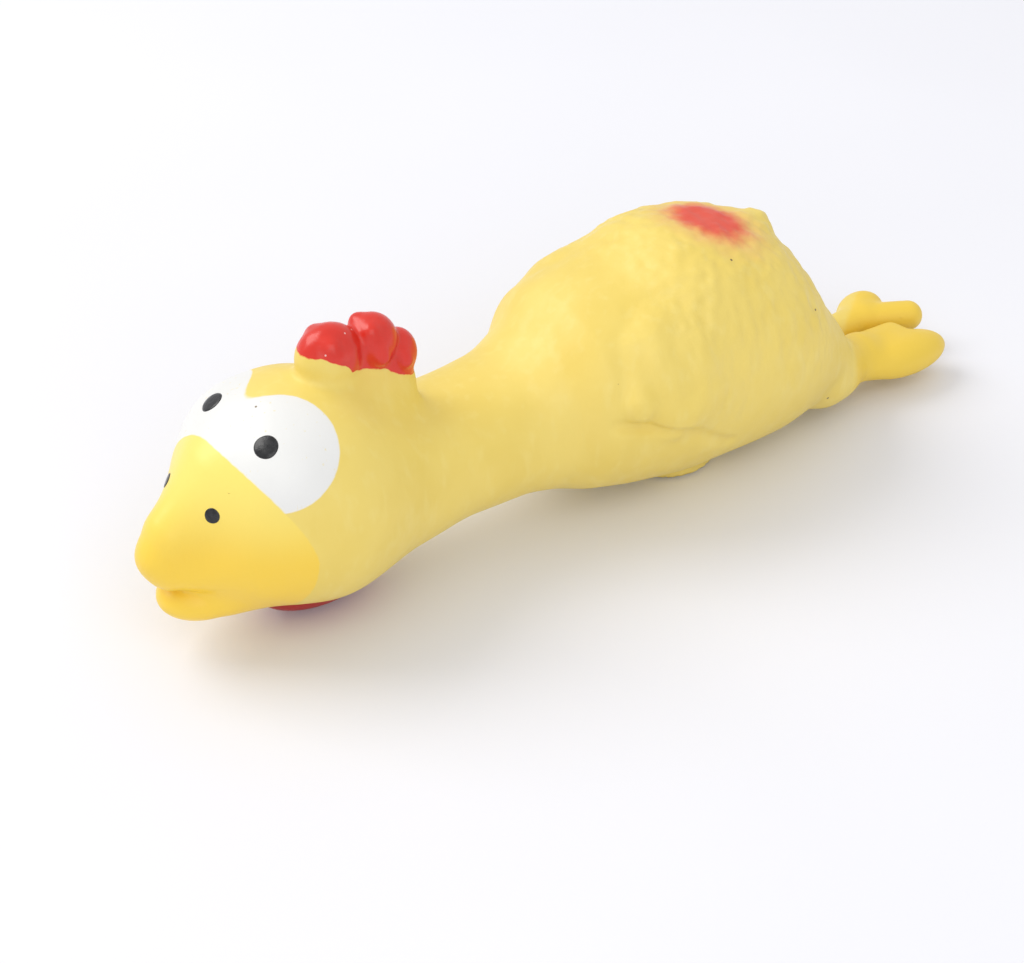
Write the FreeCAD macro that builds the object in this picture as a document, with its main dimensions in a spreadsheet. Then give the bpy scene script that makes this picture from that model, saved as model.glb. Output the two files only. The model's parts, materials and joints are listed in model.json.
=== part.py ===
import FreeCAD, Part
import math
import os
import Sketcher
from FreeCAD import Placement, Rotation, Vector

# A rubber chicken, in millimetres. It lies on its belly with its beak towards -X, its feet
# towards +X and +Z up. The origin is on the floor, half way along the bird. A station is a
# distance behind the tip of the beak, and "left" is the bird's own left, which is -Y.

# Driving dimensions. Each name becomes an alias in the spreadsheet.
DIMENSIONS = {
    "overall_length": 171.5,
    "wall": 1.0,
    "joint_gap": 0.3,
    "belly_thickening": 0.5,
    "tail_bulkhead": 4.5,
    # head
    "head_station": 29.5,
    "head_height": 25.8,
    "head_radius": 19.8,
    "crest_station": 43.0,
    "crest_height": 38.5,
    "crest_half_length": 11.5,
    "crest_half_width": 4.4,
    "crest_half_height": 8.0,
    # comb: three lobes, the front one the largest
    "comb_front_station": 38.1,
    "comb_front_height": 47.6,
    "comb_front_half_length": 5.9,
    "comb_front_half_width": 4.6,
    "comb_front_half_height": 5.6,
    "comb_middle_station": 46.3,
    "comb_middle_height": 47.6,
    "comb_middle_half_length": 4.5,
    "comb_middle_half_width": 4.2,
    "comb_middle_half_height": 5.0,
    "comb_rear_station": 51.3,
    "comb_rear_height": 43.8,
    "comb_rear_half_length": 3.2,
    "comb_rear_half_width": 3.5,
    "comb_rear_half_height": 4.2,
    # beak and wattle
    "beak_root_station": 17.5,
    "beak_root_height": 29.0,
    "beak_root_radius": 9.2,
    "beak_tip_height": 21.3,
    "beak_tip_radius": 4.6,
    "jaw_station": 14.0,
    "jaw_height": 12.2,
    "jaw_half_length": 10.3,
    "jaw_half_width": 8.0,
    "jaw_half_height": 5.4,
    "wattle_station": 30.0,
    "wattle_half_length": 8.0,
    "wattle_half_width": 3.8,
    "wattle_half_height": 4.8,
    # painted face
    "paint_thickness": 0.3,
    "eye_white_station": 21.5,
    "eye_white_side": 8.0,
    "eye_white_height": 38.5,
    "eye_white_radius": 10.0,
    "pupil_station": 22.0,
    "pupil_side": 6.9,
    "pupil_height": 38.9,
    "pupil_curve_radius": 4.0,
    "nostril_station": 11.9,
    "nostril_side": 4.7,
    "nostril_height": 29.35,
    "nostril_curve_radius": 2.5,
    # where the neck bends
    "nod_station": 50.0,
    "bend_station": 68.0,
    "neck_axis_height": 20.6,
    "neck_ball_radius": 15.5,
    # flanks that a hand squeezes
    "flank_station": 106.0,
    "flank_height": 24.0,
    "flank_half_length": 17.0,
    "flank_half_height": 9.0,
    # feet
    "ankle_station": 147.0,
    "ankle_side": 8.8,
    "ankle_height": 9.2,
    "ankle_radius": 6.2,
    "left_toe_station": 169.6,
    "paddle_side": 8.9,
    "paddle_height": 7.2,
    "paddle_half_length": 11.5,
    "paddle_half_width": 5.4,
    "paddle_half_height": 4.4,
    "outer_toe_station": 160.2,
    "outer_toe_side": 9.3,
    "outer_toe_height": 7.2,
    "outer_toe_half_length": 7.4,
    "outer_toe_half_width": 4.3,
    "outer_toe_half_height": 4.0,
    "inner_toe_side": 3.4,
    "inner_toe_height": 6.6,
    "inner_toe_half_length": 8.0,
    "inner_toe_half_width": 3.0,
    "inner_toe_half_height": 3.1,
    "inner_toe_turn": 24.0,
    # squeaker
    "squeaker_station": 108.5,
    "squeaker_hole_radius": 6.0,
    "squeaker_pocket_radius": 8.0,
    "squeaker_boss_radius": 11.0,
    "squeaker_pocket_depth": 1.2,
    "squeaker_boss_height": 2.8,
    "squeaker_flange_radius": 7.7,
    "squeaker_lip_radius": 7.2,
    "squeaker_tube_radius": 5.4,
    "squeaker_bore_radius": 4.2,
    "squeaker_air_radius": 1.2,
    "squeaker_lip_top": 5.0,
    "squeaker_top": 13.0,
    "squeaker_clearance": 0.05,
    "reed_base": 3.5,
    "reed_hinge_height": 6.0,
    "reed_tip_height": 12.2,
    "reed_width": 3.6,
    "reed_thickness": 0.2,
    "reed_slot": 0.5,
    "reed_lay_depth": 0.6,
    "trough_radius": 1.5,
}

# The trunk runs from inside the head to the ankles: station, top, bottom and half-width.
TRUNK_SECTIONS = [
    (30.5, 34.0, 8.0, 13.5),
    (48.5, 33.8, 7.5, 13.6),
    (60.5, 33.3, 7.5, 13.2),
    (70.5, 33.8, 6.5, 13.3),
    (77.5, 36.5, 5.0, 14.8),
    (84.5, 40.6, 3.0, 17.2),
    (94.5, 45.2, 0.6, 19.5),
    (106.5, 48.0, -0.5, 21.0),
    (117.5, 47.4, -0.5, 21.0),
    (124.5, 44.6, 0.2, 20.4),
    (130.5, 38.8, 1.0, 19.0),
    (137.5, 28.0, 1.8, 17.0),
    (144.0, 18.5, 2.6, 14.5),
]
SECTION_FIELDS = ("station", "top", "bottom", "half_width")
SECTION_SQUARENESS = 2.2
SECTION_POINTS = 16

# The loft's seam runs just beside the ridge of the back, clear of every opening.
SEAM_STEPS = 3.5
SIDES = {"left": -1, "right": 1}

# A size larger than any piece, for the blocks and plugs that only cut.
CLEAR_OF_ALL = 200.0

doc = FreeCAD.newDocument("rubber_chicken")
sheet = doc.addObject("Spreadsheet::Sheet", "dims")


def fill_sheet():
    """Writes every driving dimension in column B and gives it its name."""
    values = dict(DIMENSIONS)
    for index, section in enumerate(TRUNK_SECTIONS):
        for field, value in zip(SECTION_FIELDS, section):
            values[f"section_{index}_{field}"] = value
    for row, (name, value) in enumerate(values.items(), start=1):
        sheet.set(f"A{row}", name)
        sheet.set(f"B{row}", str(value))
        sheet.setAlias(f"B{row}", name)
    doc.recompute()


def value(name):
    """The number that the sheet holds under this name."""
    return float(sheet.get(name))


def row_x(station):
    """X in the part's own frame for a distance behind the tip of the beak."""
    return station - value("overall_length") / 2


def place(item, station, side, height):
    """Binds an object's position to the sheet. Each argument is an expression."""
    item.setExpression(".Placement.Base.x", f"{station} - dims.overall_length / 2")
    item.setExpression(".Placement.Base.y", side)
    item.setExpression(".Placement.Base.z", height)


def ball(name, radius, station, side, height):
    item = doc.addObject("Part::Sphere", name)
    item.setExpression("Radius", radius)
    place(item, station, side, height)
    return item


def egg(name, stem, station=None, side="0", height=None, grow="0"):
    """An ellipsoid whose three half sizes are the sheet's stem_half_... values."""
    item = doc.addObject("Part::Ellipsoid", name)
    item.setExpression("Radius1", f"dims.{stem}_half_height + {grow}")
    item.setExpression("Radius2", f"dims.{stem}_half_length + {grow}")
    item.setExpression("Radius3", f"dims.{stem}_half_width + {grow}")
    item.Angle1 = -90
    item.Angle2 = 90
    item.Angle3 = 360
    station = station or f"dims.{stem}_station"
    height = height or f"dims.{stem}_height"
    place(item, station, side, height)
    return item


def drum(name, radius, length, station, side, height):
    """An upright cylinder standing at height."""
    item = doc.addObject("Part::Cylinder", name)
    item.setExpression("Radius", radius)
    item.setExpression("Height", length)
    place(item, station, side, height)
    return item


def block(name, size, station, side, height):
    """A box of three sizes, placed by its corner of lowest station, side and height."""
    item = doc.addObject("Part::Box", name)
    for field, expression in zip(("Length", "Width", "Height"), size):
        item.setExpression(field, expression)
    place(item, station, side, height)
    return item


def fuse(name, *items):
    item = doc.addObject("Part::MultiFuse", name)
    item.Shapes = list(items)
    return item


def common(name, *items):
    item = doc.addObject("Part::MultiCommon", name)
    item.Shapes = list(items)
    return item


def cut(name, base, *tools):
    """base without the tools, which are taken away one after another."""
    item = base
    for number, tool in enumerate(tools, start=1):
        step = doc.addObject("Part::Cut", name if number == len(tools) else f"{name}_cut_{number}")
        step.Base = item
        step.Tool = tool
        item = step
    return item


def cone(name, stem, tip_station, tip_height):
    """A cone frustum from the stem's root to its tip, leaning in the bird's middle plane."""
    item = doc.addObject("Part::Cone", name)
    forward = f"(dims.{stem}_root_station - {tip_station})"
    downward = f"(dims.{stem}_root_height - {tip_height})"
    item.setExpression("Radius1", f"dims.{stem}_root_radius")
    item.setExpression("Radius2", f"dims.{stem}_tip_radius")
    item.setExpression("Height", f"sqrt({forward}^2 + {downward}^2)")
    item.Placement = Placement(Vector(), Rotation(Vector(0, -1, 0), 90))
    item.setExpression(".Placement.Rotation.Angle", f"90 deg + atan({downward} / {forward})")
    place(item, f"dims.{stem}_root_station", "0", f"dims.{stem}_root_height")
    return item


def trunk_section(index, inset, floor_inset):
    """One closed section of the trunk across X, a squarish oval, drawn in from the skin."""
    station, top, bottom, half_width = (
        value(f"section_{index}_{field}") for field in SECTION_FIELDS
    )
    top -= inset
    bottom += floor_inset
    half_width -= inset
    middle = (top + bottom) / 2
    half_height = (top - bottom) / 2
    power = 2 / SECTION_SQUARENESS
    points = []
    for step in range(SECTION_POINTS):
        angle = 2 * math.pi * (step + SEAM_STEPS) / SECTION_POINTS
        across = math.copysign(abs(math.cos(angle)) ** power, math.cos(angle))
        upward = math.copysign(abs(math.sin(angle)) ** power, math.sin(angle))
        points.append(Vector(row_x(station), half_width * across, middle + half_height * upward))
    curve = Part.BSplineCurve()
    curve.interpolate(points, PeriodicFlag=True)
    return Part.Wire([curve.toShape()])


def trunk_solid(name, inset, floor_inset):
    """The trunk as one loft, because no primitive has its squarish oval sections."""
    sections = range(len(TRUNK_SECTIONS))
    wires = [trunk_section(index, inset, floor_inset) for index in sections]
    item = doc.addObject("Part::Feature", name)
    item.Shape = Part.makeLoft(wires, True, False)
    item.Placement = Placement()
    return item


def clearing_block(name, end_station):
    """A large block with one end at a station: it reaches forward from there."""
    size = (str(CLEAR_OF_ALL),) * 3
    half = f"-{CLEAR_OF_ALL / 2}"
    return block(name, size, f"{end_station} - {CLEAR_OF_ALL}", half, half)


def head_ball(name, grow="0"):
    """The round of the head, or with grow, a coat on it or the hollow in it."""
    return ball(name, f"dims.head_radius + {grow}", "dims.head_station", "0", "dims.head_height")


def neck_ball(name, bend, grow="0"):
    """The ball on which one bend of the neck turns, or with grow, the cup around it."""
    return ball(name, f"dims.neck_ball_radius + {grow}",
                f"dims.{bend}_station", "0", "dims.neck_axis_height")


def ankle_ball(name, sign, grow="0"):
    """The ball at the front end of a foot, or with grow, its socket in the torso."""
    return ball(name, f"dims.ankle_radius + {grow}",
                "dims.ankle_station", f"{sign} * dims.ankle_side", "dims.ankle_height")


def flank_plug(name, sign, grow="0"):
    """An oval plug along Y, from the middle plane out through one side of the torso."""
    oval = doc.addObject("Part::Ellipse", f"{name}_outline")
    oval.setExpression("MajorRadius", f"dims.flank_half_length + {grow}")
    oval.setExpression("MinorRadius", f"dims.flank_half_height + {grow}")
    oval.Placement = Placement(Vector(), Rotation(Vector(1, 0, 0), 90))
    place(oval, "dims.flank_station", "0", "dims.flank_height")
    plug = doc.addObject("Part::Extrusion", name)
    plug.Base = oval
    plug.DirMode = "Custom"
    plug.Dir = Vector(0, sign, 0)
    plug.LengthFwd = CLEAR_OF_ALL
    plug.Solid = True
    return plug


def squeaker_drum(name, radius, length, height):
    return drum(name, radius, length, "dims.squeaker_station", "0", height)


def make_trunk():
    """The trunk's outside, flat where the belly rests, its hollow, and the shell between.

    A boss stands up into the hollow where the skin is thick around the squeaker.
    """
    wall = value("wall")
    outside = trunk_solid("trunk_outside", 0, 0)
    inside = trunk_solid("trunk_inside", wall, wall + value("belly_thickening"))
    half = str(CLEAR_OF_ALL)
    whole = str(2 * CLEAR_OF_ALL)
    floor = block("under_floor", (whole, whole, half), f"-{half}", f"-{half}", f"-{half}")
    grounded = cut("trunk_on_floor", outside, floor)
    last = f"dims.section_{len(TRUNK_SECTIONS) - 1}_station"
    to_bulkhead = clearing_block("to_bulkhead", f"{last} - dims.tail_bulkhead")
    boss = squeaker_drum("squeaker_boss", "dims.squeaker_boss_radius",
                         "2 * dims.squeaker_boss_height", "0 - dims.squeaker_boss_height")
    hollow = cut("trunk_hollow", common("trunk_room", inside, to_bulkhead), boss)
    return grounded, hollow, cut("trunk_shell", grounded, hollow)


def make_skin():
    """Head, neck, torso and flanks of the moulded skin, with a ball and cup at each bend."""
    grounded, hollow, shell = make_trunk()
    kept, freed = {}, {}
    for bend in ("nod", "bend"):
        forward = clearing_block(f"forward_of_{bend}", f"dims.{bend}_station")
        kept[bend] = fuse(f"{bend}_kept", forward, neck_ball(f"{bend}_ball", bend))
        freed[bend] = fuse(f"{bend}_freed", forward, neck_ball(f"{bend}_cup", bend, "dims.joint_gap"))

    skull = head_ball("skull")
    crest = egg("crest", "crest")
    head_stub = common("head_stub", grounded, kept["nod"])
    head_blank = fuse("head_blank", skull, head_stub, crest)
    head = cut("head_skin", head_blank, head_ball("head_hollow", "0 - dims.wall"), hollow)

    neck = cut("neck_skin", common("neck_blank", shell, kept["bend"]), freed["nod"])

    torso = cut("torso_blank", shell, freed["bend"])
    flanks = [
        common(f"{name}_flank", torso, flank_plug(f"{name}_panel", sign, "0 - dims.joint_gap"))
        for name, sign in SIDES.items()
    ]
    pocket = squeaker_drum("squeaker_pocket", "dims.squeaker_pocket_radius",
                           "2 * dims.squeaker_pocket_depth", "0 - dims.squeaker_pocket_depth")
    hole = squeaker_drum("squeaker_hole", "dims.squeaker_hole_radius",
                         "dims.squeaker_top", "0 - dims.squeaker_pocket_depth")
    openings = [pocket, hole]
    for name, sign in SIDES.items():
        openings.append(flank_plug(f"{name}_opening", sign))
        openings.append(ankle_ball(f"{name}_socket", sign, "dims.joint_gap"))
    return [head, neck, cut("torso_skin", torso, *openings), *flanks], skull, crest


def make_comb(skull, crest):
    lobes = [egg(f"comb_{lobe}", f"comb_{lobe}") for lobe in ("front", "middle", "rear")]
    return cut("comb", fuse("comb_lobes", *lobes), skull, crest)


def make_beak(skull):
    """The upper beak is a cone with a round tip. The lower one is an egg under it."""
    shaft = cone("beak_shaft", "beak", "dims.beak_tip_radius", "dims.beak_tip_height")
    tip = ball("beak_point", "dims.beak_tip_radius", "dims.beak_tip_radius", "0", "dims.beak_tip_height")
    blank = fuse("beak_blank", shaft, tip)
    upper = cut("upper_beak", blank, skull)
    lower = cut("lower_beak", egg("jaw", "jaw"), skull, blank)
    return [upper, lower], blank


def make_wattle(skull):
    lobe = egg("wattle_lobe", "wattle", height="dims.wattle_half_height")
    return cut("wattle", lobe, skull)


def make_face(skull, crest, beak_blank):
    """The raised coats of paint: one white patch over both eyes, two pupils, two nostrils."""
    coat = head_ball("coat_outside", "dims.paint_thickness")
    patches = [
        ball(f"{name}_eye_patch", "dims.eye_white_radius", "dims.eye_white_station",
             f"{sign} * dims.eye_white_side", "dims.eye_white_height")
        for name, sign in SIDES.items()
    ]
    white = common("eye_coat", coat, fuse("eye_patches", *patches))
    pieces = [cut("eye_white", white, skull, crest, beak_blank)]
    for name, sign in SIDES.items():
        pupil = ball(f"{name}_pupil_ball", "dims.pupil_curve_radius", "dims.pupil_station",
                     f"{sign} * dims.pupil_side", "dims.pupil_height")
        nostril = ball(f"{name}_nostril_ball", "dims.nostril_curve_radius", "dims.nostril_station",
                       f"{sign} * dims.nostril_side", "dims.nostril_height")
        pieces.append(cut(f"{name}_pupil", pupil, coat))
        pieces.append(cut(f"{name}_nostril", nostril, beak_blank, skull))
    return pieces


def make_feet():
    """Each foot has a ball at the front, which turns in the torso's socket.

    The left foot is one flat paddle. The right one has a short outer toe and a longer inner
    toe that is turned in towards the left foot.
    """
    paddle = egg("paddle", "paddle", side="0 - dims.paddle_side",
                 station="dims.left_toe_station - dims.paddle_half_length")
    outer_toe = egg("outer_toe", "outer_toe", side="dims.outer_toe_side")
    reach = ("sqrt((dims.inner_toe_half_length * cos(dims.inner_toe_turn * 1 deg))^2"
             " + (dims.inner_toe_half_width * sin(dims.inner_toe_turn * 1 deg))^2)")
    inner_toe = egg("inner_toe", "inner_toe", side="dims.inner_toe_side",
                    station=f"dims.overall_length - {reach}")
    inner_toe.Placement = Placement(inner_toe.Placement.Base, Rotation(Vector(0, 0, -1), 1))
    inner_toe.setExpression(".Placement.Rotation.Angle", "dims.inner_toe_turn * 1 deg")
    return [
        fuse("left_foot", ankle_ball("left_ankle", SIDES["left"]), paddle),
        fuse("right_foot", ankle_ball("right_ankle", SIDES["right"]), outer_toe, inner_toe),
    ]


def revolved_body(name, outline):
    """A PartDesign body turned about the squeaker's axis from (radius, height) corners."""
    body = doc.addObject("PartDesign::Body", name)
    place(body, "dims.squeaker_station", "0", "0")
    plane = next(item for item in body.Origin.OriginFeatures if item.Role == "XZ_Plane")
    sketch = body.newObject("Sketcher::SketchObject", f"{name}_outline")
    sketch.AttachmentSupport = [(plane, "")]
    sketch.MapMode = "FlatFace"
    count = len(outline)
    rough = [Vector(1 + index, index, 0) for index in range(count)]
    for index in range(count):
        sketch.addGeometry(Part.LineSegment(rough[index], rough[(index + 1) % count]), False)
    for index in range(count):
        joined = ("Coincident", index, 2, (index + 1) % count, 1)
        sketch.addConstraint(Sketcher.Constraint(*joined))
    for index, corner in enumerate(outline):
        for kind, expression in zip(("DistanceX", "DistanceY"), corner):
            number = sketch.addConstraint(Sketcher.Constraint(kind, -1, 1, index, 1, 1.0 + index))
            sketch.setExpression(f"Constraints[{number}]", expression)
    turned = body.newObject("PartDesign::Revolution", f"{name}_turned")
    turned.Profile = sketch
    turned.ReferenceAxis = (sketch, ["V_Axis"])
    turned.Angle = 360
    return body


def make_squeaker_housing():
    """A cup whose groove grips the rim of the hole in the belly, with an air hole below."""
    groove_floor = "dims.squeaker_pocket_depth - dims.squeaker_clearance"
    groove_roof = "dims.squeaker_boss_height + dims.squeaker_clearance"
    groove_radius = "dims.squeaker_hole_radius - dims.squeaker_clearance"
    bore_floor = "dims.squeaker_pocket_depth"
    return revolved_body("squeaker_housing", [
        ("dims.squeaker_air_radius", "0"),
        ("dims.squeaker_flange_radius", "0"),
        ("dims.squeaker_flange_radius", groove_floor),
        (groove_radius, groove_floor),
        (groove_radius, groove_roof),
        ("dims.squeaker_lip_radius", groove_roof),
        ("dims.squeaker_tube_radius", "dims.squeaker_lip_top"),
        ("dims.squeaker_tube_radius", "dims.squeaker_top"),
        ("dims.squeaker_bore_radius", "dims.squeaker_top"),
        ("dims.squeaker_bore_radius", bore_floor),
        ("dims.squeaker_air_radius", bore_floor),
    ])


def make_reed_parts():
    """Two half-round blocks that grip the reed's root, and the reed itself between them."""
    base = "(dims.squeaker_pocket_depth + dims.squeaker_clearance)"
    half_slot = "dims.reed_slot / 2"
    long_size = f"dims.reed_tip_height - {base}"
    short_size = f"dims.reed_hinge_height - {base}"
    radius = "dims.squeaker_bore_radius - dims.squeaker_clearance"
    wide = str(CLEAR_OF_ALL)
    middle = f"dims.squeaker_station - {wide} / 2"

    gap = block("slot_gap", (wide, "dims.reed_slot", wide), middle, f"-{half_slot}", "0")
    right_half = block("right_half", (wide,) * 3, middle, "0", "0")
    left_half = block("left_half", (wide,) * 3, middle, f"-{wide}", "0")
    lay = block("lay_relief", (wide, f"{half_slot} + dims.reed_lay_depth", wide),
                middle, f"-{half_slot} - dims.reed_lay_depth", "dims.reed_hinge_height")
    trough = squeaker_drum("trough", "dims.trough_radius",
                           "dims.reed_tip_height - 2 * dims.trough_radius", "0")
    long_core = squeaker_drum("long_core", radius, long_size, base)
    short_core = squeaker_drum("short_core", radius, short_size, base)
    block_part = cut("squeaker_reed_block", long_core, right_half, gap, lay, trough)
    clamp = cut("squeaker_reed_clamp", short_core, left_half, gap)
    reed = block("squeaker_reed",
                 ("dims.reed_width", "dims.reed_thickness", "dims.reed_tip_height - dims.reed_base"),
                 "dims.squeaker_station - dims.reed_width / 2",
                 "0 - dims.reed_thickness / 2", "dims.reed_base")
    return [block_part, clamp, reed]


def check_document():
    """Stops if a feature failed, because a recompute doesn't raise by itself."""
    for item in doc.Objects:
        if "Invalid" in item.State or "Error" in item.State:
            raise RuntimeError(f"{item.Name} failed: {item.State}")


def export(pieces):
    """Checks each piece and writes it to parts/ under its own name."""
    os.makedirs("parts", exist_ok=True)
    for piece in pieces:
        shape = piece.Shape
        if shape.isNull() or not shape.isValid() or not shape.Solids:
            raise RuntimeError(f"{piece.Label} has no valid solid")
        print(f"{piece.Label}: {len(shape.Solids)} solid, {shape.Volume / 1000:.2f} cm3")
        shape.exportStep(f"parts/{piece.Label}.step")
    total = sum(piece.Shape.Volume for piece in pieces)
    print(f"{len(pieces)} pieces, {total / 1000:.1f} cm3")


def main():
    fill_sheet()
    skin, skull, crest = make_skin()
    beak, beak_blank = make_beak(skull)
    pieces = [*skin, *beak, make_comb(skull, crest), make_wattle(skull)]
    pieces += make_face(skull, crest, beak_blank)
    pieces += make_feet()
    pieces += [make_squeaker_housing(), *make_reed_parts()]
    doc.recompute()
    check_document()
    export(pieces)


main()
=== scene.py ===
import json
import math

import bpy
import numpy as np
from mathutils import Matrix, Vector


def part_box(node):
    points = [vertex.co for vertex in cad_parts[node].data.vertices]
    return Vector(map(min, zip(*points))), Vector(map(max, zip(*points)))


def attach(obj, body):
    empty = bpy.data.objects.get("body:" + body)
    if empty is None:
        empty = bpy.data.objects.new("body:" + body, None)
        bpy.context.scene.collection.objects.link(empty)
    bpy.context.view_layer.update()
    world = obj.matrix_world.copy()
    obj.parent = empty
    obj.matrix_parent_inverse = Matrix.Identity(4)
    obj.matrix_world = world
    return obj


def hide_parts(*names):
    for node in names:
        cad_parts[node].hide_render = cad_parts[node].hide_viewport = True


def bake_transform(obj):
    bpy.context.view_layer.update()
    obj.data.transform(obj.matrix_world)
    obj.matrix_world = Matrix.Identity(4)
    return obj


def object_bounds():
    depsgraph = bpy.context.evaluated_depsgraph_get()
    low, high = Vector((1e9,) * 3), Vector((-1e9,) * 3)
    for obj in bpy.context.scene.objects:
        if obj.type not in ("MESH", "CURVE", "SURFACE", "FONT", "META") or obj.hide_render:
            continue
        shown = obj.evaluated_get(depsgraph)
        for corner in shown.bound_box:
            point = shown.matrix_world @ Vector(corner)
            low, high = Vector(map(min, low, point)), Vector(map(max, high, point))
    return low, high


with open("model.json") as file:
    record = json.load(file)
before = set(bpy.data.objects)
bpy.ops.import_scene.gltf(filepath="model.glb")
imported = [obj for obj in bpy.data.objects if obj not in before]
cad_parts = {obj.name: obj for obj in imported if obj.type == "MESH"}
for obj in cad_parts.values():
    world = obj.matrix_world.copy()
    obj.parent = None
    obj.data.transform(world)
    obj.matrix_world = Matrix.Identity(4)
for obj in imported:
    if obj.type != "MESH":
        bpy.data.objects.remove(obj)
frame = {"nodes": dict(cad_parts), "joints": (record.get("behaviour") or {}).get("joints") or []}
CAD_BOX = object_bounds()

# A rubber chicken: a thin latex skin moulded in one piece and painted, with a squeaker in its
# belly. The skin is one implicit surface, meshed once and then split where the paint changes
# and where the bird bends, so that neighbouring pieces meet edge to edge.
#
# Shapes are in millimetres. A point is (station, side, height): a station is a distance behind
# the tip of the beak, the side is +Y, and the bird's own left is -Y.

MM = 0.001
BEAK_TIP = CAD_BOX[0].x / MM
LENGTH = (CAD_BOX[1].x - CAD_BOX[0].x) / MM


# ---------------------------------------------------------------- places taken from the frame

def node_box(name):
    """A CAD node's lowest and highest corners as (station, side, height)."""
    low, high = (np.array(corner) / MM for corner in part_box(name))
    shift = np.array([BEAK_TIP, 0, 0])
    return low - shift, high - shift


def node_centre(name):
    low, high = node_box(name)
    return (low + high) / 2


def joint_place(name):
    """The point of a joint as (station, side, height)."""
    joint = next(j for j in frame["joints"] if j["name"] == name)
    return np.array(joint["pos_m"]) / MM - np.array([BEAK_TIP, 0, 0])


# ---------------------------------------------------------------- implicit shapes

def smooth_union(a, b, blend):
    share = np.clip(0.5 + 0.5 * (b - a) / blend, 0, 1)
    return b * (1 - share) + a * share - blend * share * (1 - share)


def smooth_cut(a, b, blend):
    """The shape a without the shape b."""
    return -smooth_union(-a, b, blend)


def fade(value, start, end):
    t = np.clip((value - start) / (end - start), 0, 1)
    return t * t * (3 - 2 * t)


def mirrored(p):
    """The points with the two sides folded onto +Y."""
    q = p.copy()
    q[:, 1] = np.abs(q[:, 1])
    return q


def egg(p, centre, half_sizes, pitch=0.0):
    """Distance to an ellipsoid whose front is tipped up by pitch degrees."""
    q = p - np.array(centre, np.float32)
    if pitch:
        a = math.radians(pitch)
        q = np.stack([q[:, 0] * math.cos(a) + q[:, 2] * math.sin(a), q[:, 1],
                      q[:, 2] * math.cos(a) - q[:, 0] * math.sin(a)], 1)
    r = np.array(half_sizes, np.float32)
    inner = np.linalg.norm(q / r, axis=1)
    slope = np.linalg.norm(q / (r * r), axis=1)
    return inner * (inner - 1) / np.maximum(slope, 1e-6)


def limb(p, start, end, start_radius, end_radius):
    """Distance to a round-ended rod that tapers from start to end."""
    a = np.array(start, np.float32)
    run = np.array(end, np.float32) - a
    t = np.clip(((p - a) @ run) / (run @ run), 0, 1)
    radius = start_radius + (end_radius - start_radius) * t
    return np.linalg.norm(p - a - t[:, None] * run, axis=1) - radius


def smooth_curve(x, points, column):
    """A curve through the points that never overshoots them."""
    xs = np.array([row[0] for row in points], float)
    ys = np.array([row[column] for row in points], float)
    steps = np.diff(ys) / np.diff(xs)
    slopes = np.concatenate([steps[:1], np.zeros(len(xs) - 2), steps[-1:]])
    same_way = steps[1:] * steps[:-1] > 0
    means = 2 * steps[1:] * steps[:-1] / (steps[1:] + steps[:-1] + 1e-12)
    slopes[1:-1] = np.where(same_way, means, 0)
    i = np.clip(np.searchsorted(xs, x) - 1, 0, len(xs) - 2)
    run = xs[i + 1] - xs[i]
    t = np.clip((x - xs[i]) / run, 0, 1)
    return (ys[i] * (1 + 2 * t) * (1 - t) ** 2 + slopes[i] * run * t * (1 - t) ** 2
            + ys[i + 1] * t * t * (3 - 2 * t) - slopes[i + 1] * run * t * t * (1 - t))


# ---------------------------------------------------------------- the bird

# station, top, bottom, half-width
TRUNK = [
    (30.5, 34.0, 7.0, 14.5),
    (48.5, 33.6, 6.8, 14.0),
    (60.5, 32.6, 7.9, 12.7),
    (70.5, 33.4, 7.7, 13.0),
    (77.5, 36.2, 6.6, 14.6),
    (84.5, 41.8, 4.8, 19.0),
    (94.5, 44.6, 2.0, 19.8),
    (106.5, 48.6, 0.3, 21.1),
    (117.5, 47.2, 0.3, 21.0),
    (124.5, 44.4, 0.5, 20.2),
    (130.5, 39.4, 1.6, 18.4),
    (137.5, 28.0, 3.4, 15.0),
    (144.5, 18.5, 4.4, 11.4),
]
TOP_SQUARENESS, BOTTOM_SQUARENESS = 2.25, 2.0
HEAD_CENTRE = (29.6, 0, 25.4)
HEAD_HALF_SIZES = (20.0, 19.9, 20.1)
COMB_LOBES = [
    ((38.1, 0, 47.6), (5.9, 4.7, 5.8)),
    ((46.3, 0, 47.5), (4.5, 4.2, 5.0)),
    ((51.2, 0, 43.6), (3.4, 3.5, 4.3)),
]
# start and end of a raised fold on each lobe's two sides, and its radius
COMB_FOLDS = [
    ((37.3, 2.4, 50.7), (37.6, 3.0, 49.4), 1.8),
    ((45.2, 1.9, 50.5), (46.0, 3.3, 46.4), 1.7),
    ((50.5, 2.0, 45.3), (50.9, 2.7, 43.5), 1.5),
]
WATTLE_CENTRE = (33.5, 0, 4.8)
WATTLE_HALF_SIZES = (11.5, 6.6, 4.4)
MOUTH_HEIGHT = 14.6
KNEE_HOLLOW = [(96.5, 17.5, 39.5), (97.0, 22.5, 31.0)]
THIGH_FOLD = [(84.0, 18.5, 25.6), (90.0, 19.2, 23.6), (96.5, 21.2, 21.2), (103.0, 19.4, 16.6),
              (108.5, 18.6, 12.8)]
RING_WIDTH, RING_MIDDLE, RING_HALF_HEIGHT = 1.6, 2.1, 1.5
POCKET_CLEARANCE, POCKET_DEPTH = 0.15, 1.2


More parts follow.
